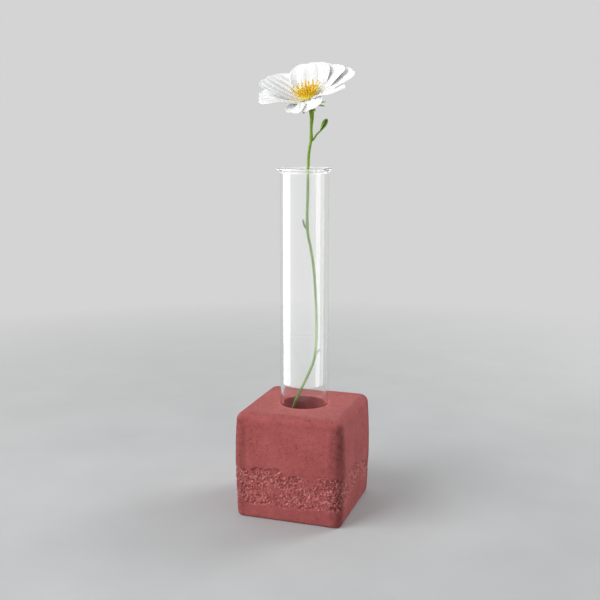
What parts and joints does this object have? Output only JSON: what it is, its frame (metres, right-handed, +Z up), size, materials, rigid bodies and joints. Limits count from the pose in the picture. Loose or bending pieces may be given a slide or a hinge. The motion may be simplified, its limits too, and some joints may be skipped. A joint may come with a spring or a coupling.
{
  "type": "bud vase",
  "caption": "Bud vase: a cast cube with a round socket in its top, a rimmed glass test tube standing in the socket, and a white flower on a stem.",
  "frame": {"origin": "centre of the block's flat underside, on the tube's axis", "axes": "+Z up along the tube; -Y out of the block's front face; +X to the right seen from the front"},
  "size_m": [0.0584, 0.0584, 0.2329],
  "materials": {
    "cast_concrete": "matte",
    "clear_glass": "polished",
    "petal_white": "satin",
    "disc_yellow": "matte",
    "anther_yellow": "matte",
    "stem_green": "satin",
    "leaf_green": "satin"
  },
  "bodies": {
    "block": {"block": "cast_concrete"},
    "tube": {"glass_tube": "clear_glass"},
    "flower": {"stem": "stem_green", "side_stalk": "stem_green", "upper_spur": "stem_green", "lower_spur": "stem_green", "bud": "leaf_green", "receptacle": "leaf_green", "bract_1": "leaf_green", "bract_2": "leaf_green", "bract_3": "leaf_green", "bract_4": "leaf_green", "bract_5": "leaf_green", "bract_6": "leaf_green", "bract_7": "leaf_green", "bract_8": "leaf_green", "petal_right": "petal_white", "petal_back_right": "petal_white", "petal_back": "petal_white", "petal_back_left": "petal_white", "petal_left": "petal_white", "petal_front_left": "petal_white", "petal_front": "petal_white", "petal_front_right": "petal_white", "flower_disc": "disc_yellow", "stamen_1": "anther_yellow", "stamen_2": "anther_yellow", "stamen_3": "anther_yellow", "stamen_4": "anther_yellow", "stamen_5": "anther_yellow", "stamen_6": "anther_yellow", "stamen_7": "anther_yellow", "stamen_8": "anther_yellow", "stamen_9": "anther_yellow", "stamen_10": "anther_yellow", "stamen_11": "anther_yellow", "stamen_12": "anther_yellow", "stamen_13": "anther_yellow", "stamen_14": "anther_yellow", "stamen_15": "anther_yellow", "stamen_16": "anther_yellow", "stamen_17": "anther_yellow", "stamen_18": "anther_yellow", "stamen_19": "anther_yellow", "stamen_20": "anther_yellow", "stamen_21": "anther_yellow", "stamen_22": "anther_yellow", "stamen_23": "anther_yellow", "stamen_24": "anther_yellow"}
  },
  "joints": [
    {"name": "tube_lift", "type": "slide", "parent": "block", "child": "tube", "axis": [0, 0, 1], "range_m": [0, 0.035]},
    {"name": "flower_lift", "type": "slide", "parent": "tube", "child": "flower", "axis": [0, 0, 1], "range_m": [0, 0.15]}
  ]
}
